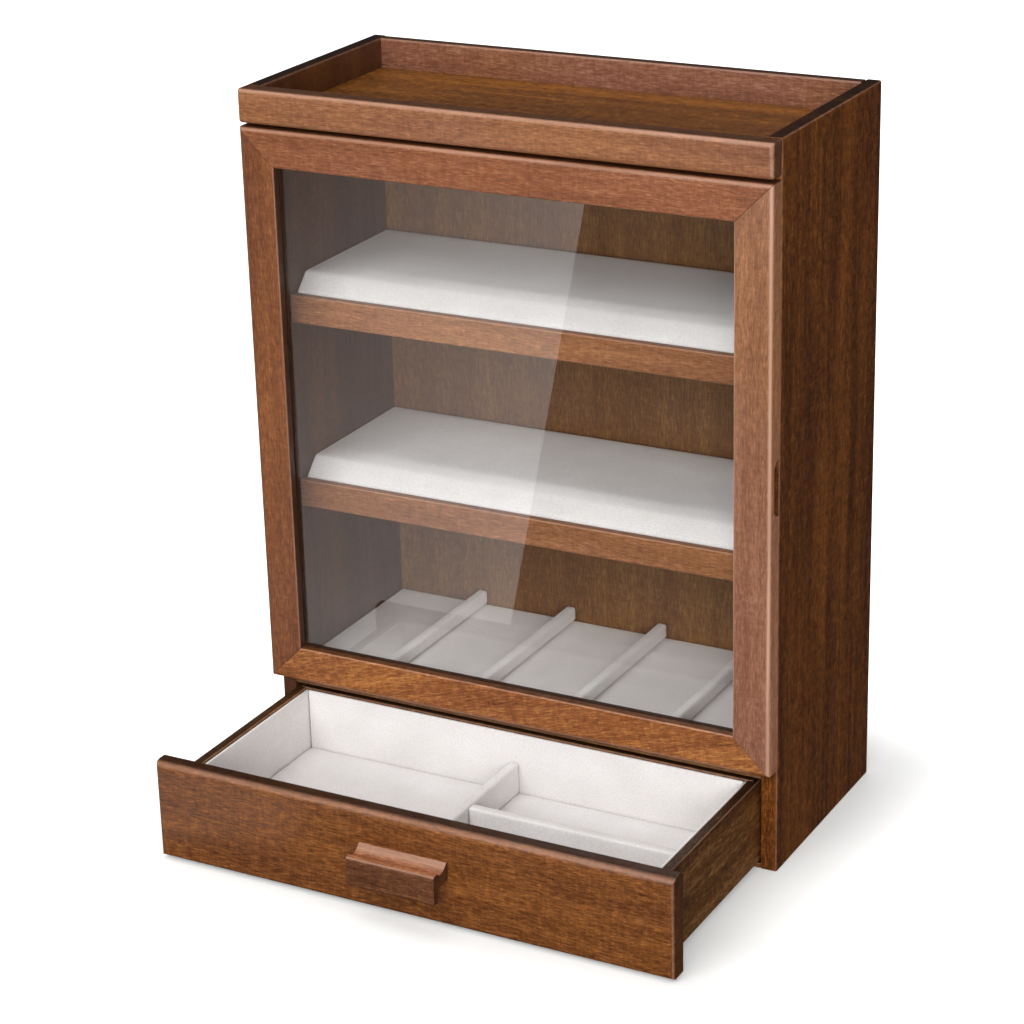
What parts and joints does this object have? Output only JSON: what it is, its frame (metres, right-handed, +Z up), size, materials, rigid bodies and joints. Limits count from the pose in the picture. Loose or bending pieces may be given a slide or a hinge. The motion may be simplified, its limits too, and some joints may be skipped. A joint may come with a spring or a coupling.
{
  "type": "knife display case",
  "caption": "Stained wooden display case with a glazed hinged door, padded shelves, divided floor, lined drawer with a coved pull and an open tray on top.",
  "frame": {"origin": "middle of the underside of the closed case, from the door's face to the back edges of the sides", "axes": "+Z up, -Y to the front, +X to the right when seen from the front"},
  "size_m": [0.3165, 0.279, 0.4065],
  "materials": {
    "front_wood": "walnut stain, satin lacquer",
    "case_wood": "dark walnut stain, satin lacquer",
    "pull_wood": "reddish stain, satin lacquer",
    "lining": "short-napped suede cloth",
    "glass": "clear float glass",
    "brass": "satin",
    "steel": "satin"
  },
  "bodies": {
    "case": {"left_side_panel": "case_wood", "right_side_panel": "case_wood", "back_panel": "case_wood", "bottom_panel": "case_wood", "display_deck": "case_wood", "top_panel": "case_wood", "tray_front_rail": "front_wood", "tray_back_rail": "case_wood", "display_floor_pad": "lining", "lower_shelf": "case_wood", "lower_shelf_lip": "front_wood", "lower_shelf_pad": "lining", "upper_shelf": "case_wood", "upper_shelf_lip": "front_wood", "upper_shelf_pad": "lining", "slot_divider_1": "lining", "slot_divider_2": "lining", "slot_divider_3": "lining", "slot_divider_4": "lining", "catch_magnet": "steel", "lower_hinge_case_leaf": "brass", "lower_hinge_pin": "brass", "lower_hinge_case_screw_1": "brass", "lower_hinge_case_screw_2": "brass", "upper_hinge_case_leaf": "brass", "upper_hinge_pin": "brass", "upper_hinge_case_screw_1": "brass", "upper_hinge_case_screw_2": "brass"},
    "door": {"door_left_stile": "front_wood", "door_right_stile": "front_wood", "door_top_rail": "front_wood", "door_bottom_rail": "front_wood", "door_glass": "glass", "door_strike": "steel", "glass_bead_left": "front_wood", "glass_bead_top": "front_wood", "glass_bead_right": "front_wood", "glass_bead_bottom": "front_wood", "lower_hinge_door_leaf": "brass", "lower_hinge_door_screw_1": "brass", "lower_hinge_door_screw_2": "brass", "upper_hinge_door_leaf": "brass", "upper_hinge_door_screw_1": "brass", "upper_hinge_door_screw_2": "brass"},
    "drawer": {"drawer_front": "front_wood", "drawer_left_side": "case_wood", "drawer_right_side": "case_wood", "drawer_back": "case_wood", "drawer_bottom": "case_wood", "drawer_pull": "pull_wood", "pull_screw_1": "steel", "pull_screw_2": "steel", "drawer_liner_left": "lining", "drawer_liner_right": "lining", "drawer_liner_front": "lining", "drawer_liner_back": "lining", "drawer_floor_pad": "lining", "drawer_long_divider": "lining", "drawer_cross_divider": "lining"}
  },
  "joints": [
    {"name": "door_swing", "type": "hinge", "parent": "case", "child": "door", "pos_m": [-0.1584, -0.0611, 0.2234], "axis": [0, 0, -1], "range_deg": [0, 180]},
    {"name": "drawer_slide", "type": "slide", "parent": "case", "child": "drawer", "axis": [0, -1, 0], "range_m": [-0.11875, 0.002]}
  ]
}
